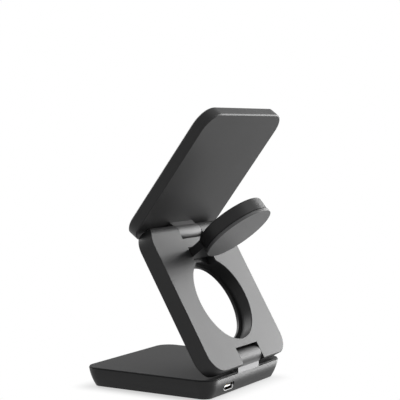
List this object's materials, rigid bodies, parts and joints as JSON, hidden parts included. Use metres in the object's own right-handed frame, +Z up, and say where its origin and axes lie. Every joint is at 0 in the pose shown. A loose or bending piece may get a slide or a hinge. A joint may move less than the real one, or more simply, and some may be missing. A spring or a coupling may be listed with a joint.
{
  "type": "three in one wireless charger",
  "caption": "Folding wireless charging stand: flat base for earbuds, leaning arm with a round hole, hinged phone pad at the top and a watch puck that swings out of the hole.",
  "frame": {"origin": "middle of the rubber foot pad, on the surface that the stand rests on", "axes": "+Z up, +Y to the rear edge with the power inlet and the base hinge, +X across the width along the hinge axes"},
  "size_m": [0.0714, 0.0757, 0.1289],
  "materials": {
    "shell_metal": "dark anodised, satin, fine bead-blasted",
    "puck_back": "grey anodised, satin",
    "cover_plastic": "matte moulded",
    "pad_skin": "soft-touch matte",
    "foot_rubber": "matte",
    "dish_plastic": "polished",
    "steel": "plain turned",
    "inlet_steel": "bright drawn",
    "inlet_blade": "moulded",
    "board": "solder mask",
    "chips": "moulded",
    "copper": "enamelled copper wire",
    "ferrite": "pressed sheet",
    "magnet": "nickel plated",
    "ribbon": "flexible film"
  },
  "bodies": {
    "base": {"base_shell": "shell_metal", "base_bottom_cover": "cover_plastic", "foot_pad": "foot_rubber", "cover_screws": "steel", "usb_c_shell": "inlet_steel", "usb_c_tongue": "inlet_blade", "main_board": "board", "board_parts": "chips", "earbud_coil": "copper", "earbud_ferrite": "ferrite", "base_weight": "steel", "hinge_knuckle": "shell_metal", "knuckle_screws": "steel"},
    "arm": {"arm_frame": "shell_metal", "arm_front_cover": "cover_plastic", "arm_ribbons": "ribbon", "base_hinge_pin": "steel", "pad_hinge_pin": "steel", "watch_hinge_pin": "steel"},
    "phone_pad": {"pad_rear_shell": "shell_metal", "pad_front_cover": "pad_skin", "pad_lug": "shell_metal", "lug_screws": "steel", "magnet_ring": "magnet", "phone_coil": "copper", "phone_ferrite": "ferrite", "pad_board": "board"},
    "watch_puck": {"puck_housing": "shell_metal", "puck_base": "puck_back", "puck_dish": "dish_plastic", "watch_coil": "copper", "watch_ferrite": "ferrite", "watch_magnet": "magnet"}
  },
  "joints": [
    {"name": "base_hinge", "type": "hinge", "parent": "base", "child": "arm", "pos_m": [0, 0.0313, 0.01475], "axis": [1, 0, 0], "range_deg": [-30, 59.7]},
    {"name": "pad_hinge", "type": "hinge", "parent": "arm", "child": "phone_pad", "pos_m": [0, -0.00119, 0.07035], "axis": [1, 0, 0], "range_deg": [-113.4, 12]},
    {"name": "watch_hinge", "type": "hinge", "parent": "arm", "child": "watch_puck", "pos_m": [0, 0.00669, 0.06083], "axis": [1, 0, 0], "range_deg": [-99.8, 10.6]}
  ],
  "couplings": [
    {"joint": "watch_hinge", "follows": "pad_hinge", "ratio": 0.88}
  ]
}
